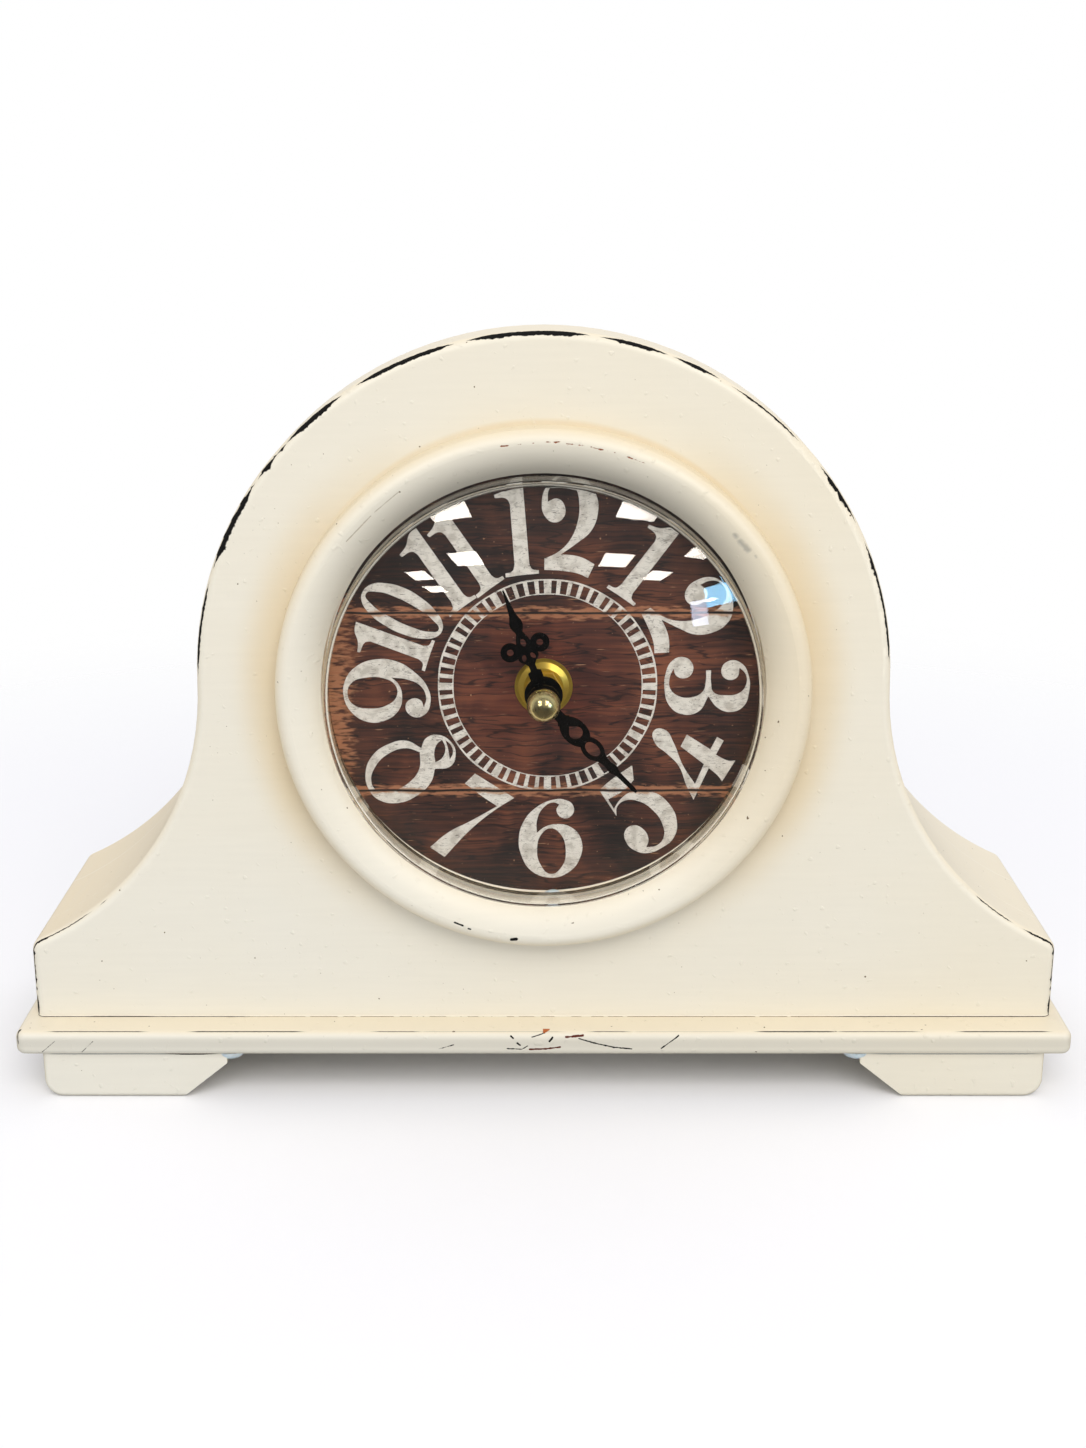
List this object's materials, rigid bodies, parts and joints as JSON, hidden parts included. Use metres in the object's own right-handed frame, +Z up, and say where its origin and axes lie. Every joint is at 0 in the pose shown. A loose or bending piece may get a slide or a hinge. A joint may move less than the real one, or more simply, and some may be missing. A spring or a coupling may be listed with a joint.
{
  "type": "mantel clock",
  "caption": "Tambour mantel clock with a painted arched case, bracket feet, domed glass, numbered dial, pierced hands and a battery quartz movement.",
  "frame": {"origin": "centre of the clock's footprint, on the surface that its feet stand on", "axes": "+X to the right seen from the front, +Y towards the back, +Z up; the dial faces -Y"},
  "size_m": [0.308, 0.1006, 0.2213],
  "materials": {
    "cream_paint": "brushed cream chalk paint on fibreboard, rubbed through at the edges",
    "hardboard": "bare brown hardboard",
    "screw_steel": "zinc plated",
    "clear_glass": "clear, polished",
    "dial_print": "matt printed paper",
    "brass": "polished",
    "black_rubber": "matt",
    "black_enamel": "satin black enamel",
    "white_plastic": "moulded acetal",
    "black_plastic": "moulded, fine texture",
    "magnet_iron": "dull grey",
    "copper_wire": "enamelled copper wire",
    "board_laminate": "green laminate",
    "battery_sleeve": "plain sleeve"
  },
  "bodies": {
    "case": {"front_panel": "cream_paint", "left_shoulder_front_block": "cream_paint", "left_shoulder_rear_block": "cream_paint", "right_shoulder_front_block": "cream_paint", "right_shoulder_rear_block": "cream_paint", "drum_wrap": "cream_paint", "rear_panel": "hardboard", "rear_panel_screws": "screw_steel", "base_board": "cream_paint", "base_screws": "screw_steel", "foot_screws": "screw_steel", "front_left_foot": "cream_paint", "front_right_foot": "cream_paint", "rear_left_foot": "cream_paint", "rear_right_foot": "cream_paint", "bezel_ring": "cream_paint", "domed_glass": "clear_glass", "dial_paper": "dial_print", "dial_plate": "hardboard", "dial_retaining_ring": "hardboard", "dial_screws": "screw_steel", "centre_bush": "brass", "rubber_gasket": "black_rubber", "dial_washer": "brass", "bush_nut": "brass", "movement_front_cover": "black_plastic", "movement_rear_case": "black_plastic", "stator": "magnet_iron", "coil": "copper_wire", "circuit_board": "board_laminate", "quartz_crystal": "screw_steel", "control_chip": "black_plastic", "battery": "battery_sleeve", "positive_contact": "screw_steel", "negative_contact": "screw_steel"},
    "minute": {"minute_arbor": "brass", "minute_hand": "black_enamel", "cap_nut": "brass"},
    "motion": {"motion_wheel": "white_plastic", "setting_knob": "black_plastic"},
    "hour": {"hour_wheel": "white_plastic", "hour_hand": "black_enamel"},
    "rotor": {"rotor_pinion": "white_plastic", "rotor_magnet": "magnet_iron"},
    "intermediate": {"intermediate_wheel": "white_plastic"},
    "second": {"second_wheel": "white_plastic"},
    "third": {"third_wheel": "white_plastic"},
    "centre": {"centre_wheel": "white_plastic"}
  },
  "joints": [
    {"name": "minute_turn", "type": "hinge", "parent": "case", "child": "minute", "pos_m": [0, -0.00475, 0.1215], "axis": [0, 1, 0], "continuous": true},
    {"name": "motion_turn", "type": "hinge", "parent": "case", "child": "motion", "pos_m": [-0.00786, -0.00475, 0.11599], "axis": [0, 1, 0], "continuous": true},
    {"name": "hour_turn", "type": "hinge", "parent": "case", "child": "hour", "pos_m": [0, -0.00475, 0.1215], "axis": [0, 1, 0], "continuous": true},
    {"name": "rotor_turn", "type": "hinge", "parent": "case", "child": "rotor", "pos_m": [0.01032, -0.00475, 0.11529], "axis": [0, 1, 0], "continuous": true},
    {"name": "intermediate_turn", "type": "hinge", "parent": "case", "child": "intermediate", "pos_m": [0.01447, -0.00475, 0.11769], "axis": [0, 1, 0], "continuous": true},
    {"name": "second_turn", "type": "hinge", "parent": "case", "child": "second", "pos_m": [0.01447, -0.00475, 0.12469], "axis": [0, 1, 0], "continuous": true},
    {"name": "third_turn", "type": "hinge", "parent": "case", "child": "third", "pos_m": [0.00703, -0.00475, 0.1274], "axis": [0, 1, 0], "continuous": true},
    {"name": "centre_turn", "type": "hinge", "parent": "case", "child": "centre", "pos_m": [0, -0.00475, 0.1215], "axis": [0, 1, 0], "continuous": true}
  ],
  "couplings": [
    {"joint": "motion_turn", "follows": "minute_turn", "ratio": -0.33333},
    {"joint": "hour_turn", "follows": "minute_turn", "ratio": 0.083333},
    {"joint": "intermediate_turn", "follows": "rotor_turn", "ratio": -0.2},
    {"joint": "second_turn", "follows": "rotor_turn", "ratio": 0.033333},
    {"joint": "third_turn", "follows": "rotor_turn", "ratio": -0.0041667},
    {"joint": "centre_turn", "follows": "rotor_turn", "ratio": 0.00055556}
  ]
}
